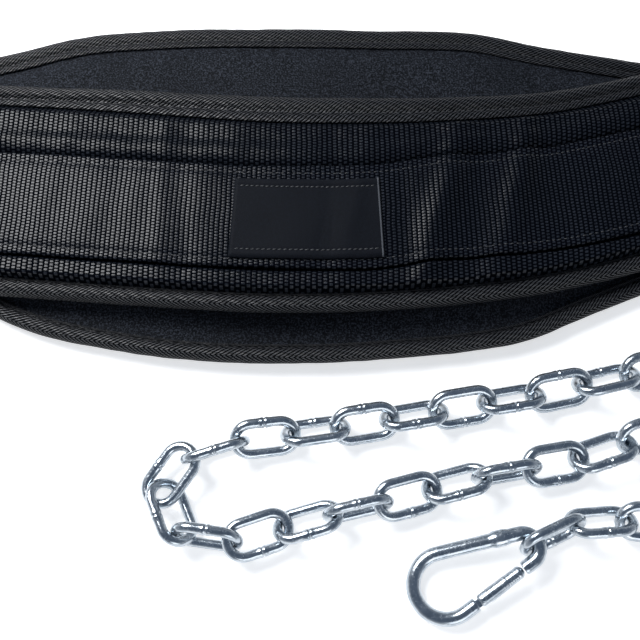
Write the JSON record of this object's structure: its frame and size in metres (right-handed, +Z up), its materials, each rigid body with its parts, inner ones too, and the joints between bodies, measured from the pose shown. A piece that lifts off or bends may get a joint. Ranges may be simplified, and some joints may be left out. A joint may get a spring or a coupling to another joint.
{
  "type": "dip belt with chain and snap hook",
  "caption": "Padded dip belt lying open, outer face up, with a D-ring at each end and a welded chain on one of them that ends in a spring-gate snap hook.",
  "frame": {"origin": "under the middle of the whole laid-out belt and chain, on the surface they lie on", "axes": "+X along the belt towards the end that carries the chain, +Y from the chain towards the belt, +Z up, out of the belt's outer face"},
  "size_m": [0.818, 0.3064, 0.0335],
  "materials": {
    "neoprene": "speckled matt foam rubber",
    "twill_tape": "herringbone twill tape",
    "ribbed_nylon": "ribbed nylon shell cloth",
    "webbing": "ribbed load webbing",
    "label_cloth": "plain woven patch, bare",
    "zinc_plated_steel": "bright zinc plate"
  },
  "bodies": {
    "belt": {"base_pad": "neoprene", "base_binding": "twill_tape", "belt_pad": "ribbed_nylon", "belt_binding": "twill_tape", "strap": "webbing", "label": "label_cloth", "d_ring_left": "zinc_plated_steel", "d_ring_right": "zinc_plated_steel", "chain_link_01": "zinc_plated_steel", "chain_link_02": "zinc_plated_steel", "chain_link_03": "zinc_plated_steel", "chain_link_04": "zinc_plated_steel", "chain_link_05": "zinc_plated_steel", "chain_link_06": "zinc_plated_steel", "chain_link_07": "zinc_plated_steel", "chain_link_08": "zinc_plated_steel", "chain_link_09": "zinc_plated_steel", "chain_link_10": "zinc_plated_steel", "chain_link_11": "zinc_plated_steel", "chain_link_12": "zinc_plated_steel", "chain_link_13": "zinc_plated_steel", "chain_link_14": "zinc_plated_steel", "chain_link_15": "zinc_plated_steel", "chain_link_16": "zinc_plated_steel", "chain_link_17": "zinc_plated_steel", "chain_link_18": "zinc_plated_steel", "chain_link_19": "zinc_plated_steel", "chain_link_20": "zinc_plated_steel", "chain_link_21": "zinc_plated_steel", "chain_link_22": "zinc_plated_steel", "chain_link_23": "zinc_plated_steel", "chain_link_24": "zinc_plated_steel", "chain_link_25": "zinc_plated_steel", "chain_link_26": "zinc_plated_steel", "chain_link_27": "zinc_plated_steel", "chain_link_28": "zinc_plated_steel", "chain_link_29": "zinc_plated_steel", "chain_link_30": "zinc_plated_steel", "chain_link_31": "zinc_plated_steel", "chain_link_32": "zinc_plated_steel", "chain_link_33": "zinc_plated_steel", "chain_link_34": "zinc_plated_steel", "chain_link_35": "zinc_plated_steel", "chain_link_36": "zinc_plated_steel", "chain_link_37": "zinc_plated_steel", "chain_link_38": "zinc_plated_steel", "chain_link_39": "zinc_plated_steel", "chain_link_40": "zinc_plated_steel", "chain_link_41": "zinc_plated_steel", "chain_link_42": "zinc_plated_steel", "chain_link_43": "zinc_plated_steel", "hook_body": "zinc_plated_steel", "hook_pin": "zinc_plated_steel"},
    "gate": {"hook_gate": "zinc_plated_steel"}
  },
  "joints": [
    {"name": "gate_hinge", "type": "hinge", "parent": "belt", "child": "gate", "pos_m": [0.06294, -0.14154, 0.00658], "axis": [-0.1109, -0.0494, 0.9926], "range_deg": [0, 25], "stiffness_Nm_per_rad": 0.05, "springref_deg": -20.05}
  ]
}
